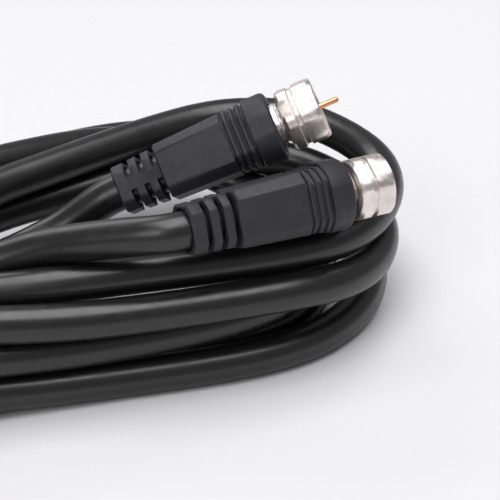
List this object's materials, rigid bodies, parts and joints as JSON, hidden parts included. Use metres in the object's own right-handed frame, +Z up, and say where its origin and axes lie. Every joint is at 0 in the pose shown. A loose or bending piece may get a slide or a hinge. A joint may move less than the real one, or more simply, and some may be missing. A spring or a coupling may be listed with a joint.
{
  "type": "coaxial cable coil",
  "caption": "Coil of round coaxial cable, strapped at the middle, with a moulded boot and a screw-on hexagonal plug at each free end.",
  "frame": {"origin": "on the floor, at the middle of the strap's underside", "axes": "+X along the coil towards the two plugs, +Y towards the back of the coil, +Z up"},
  "size_m": [0.1908, 0.0763, 0.0499],
  "materials": {
    "jacket": "satin",
    "strap": "matt",
    "boot": "matt",
    "nickel": "bright",
    "copper": "bright",
    "insulation": "matt"
  },
  "bodies": {
    "coil": {"cable": "jacket", "strap": "strap", "boot_a": "boot", "boot_b": "boot", "plug_body_a": "nickel", "plug_body_b": "nickel", "insulation_a": "insulation", "insulation_b": "insulation", "centre_pin_a": "copper", "centre_pin_b": "copper"},
    "coupling_nut_a": {"nut_a": "nickel"},
    "coupling_nut_b": {"nut_b": "nickel"}
  },
  "joints": [
    {"name": "nut_a_spin", "type": "hinge", "parent": "coil", "child": "coupling_nut_a", "pos_m": [0.06993, -0.01391, 0.04298], "axis": [0.8924, -0.2391, 0.3827], "continuous": true},
    {"name": "nut_b_spin", "type": "hinge", "parent": "coil", "child": "coupling_nut_b", "pos_m": [0.07725, -0.02544, 0.03222], "axis": [0.9958, 0.0906, -0.0105], "continuous": true}
  ]
}
